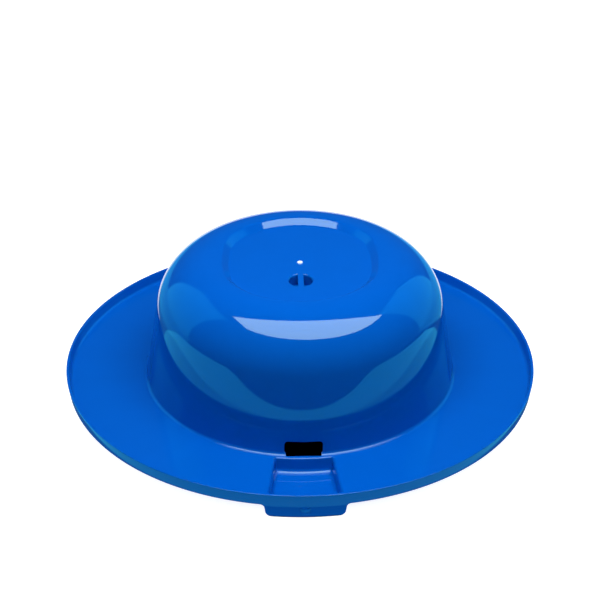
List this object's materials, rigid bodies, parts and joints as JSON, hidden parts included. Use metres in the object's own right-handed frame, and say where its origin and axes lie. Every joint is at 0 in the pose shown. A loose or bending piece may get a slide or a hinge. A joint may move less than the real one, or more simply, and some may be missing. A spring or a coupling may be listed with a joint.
{
  "type": "hip bath basin",
  "caption": "Round plastic basin with a wide flat brim and upturned lip, a deep domed bowl, and a hose slot, trough and tab at the front, shown bowl up.",
  "frame": {"origin": "on the bowl's axis, at the height of the hose trough's underside, which is the lowest face when the basin stands bowl up", "axes": "+Z along the bowl's axis, out through the bowl's base; the hose slot, trough and tab face -Y; +X is to the right seen from the front"},
  "size_m": [0.37, 0.37, 0.1138],
  "materials": {
    "blue_polypropylene": "glossy, injection moulded, one colour through"
  },
  "bodies": {
    "root": {"bowl_base": "blue_polypropylene", "bowl_shoulder": "blue_polypropylene", "bowl_wall": "blue_polypropylene", "brim": "blue_polypropylene", "rim_lip": "blue_polypropylene", "hose_trough": "blue_polypropylene", "front_tab": "blue_polypropylene", "clip_boss": "blue_polypropylene", "hose_clip_left": "blue_polypropylene", "hose_clip_right": "blue_polypropylene"}
  },
  "joints": []
}
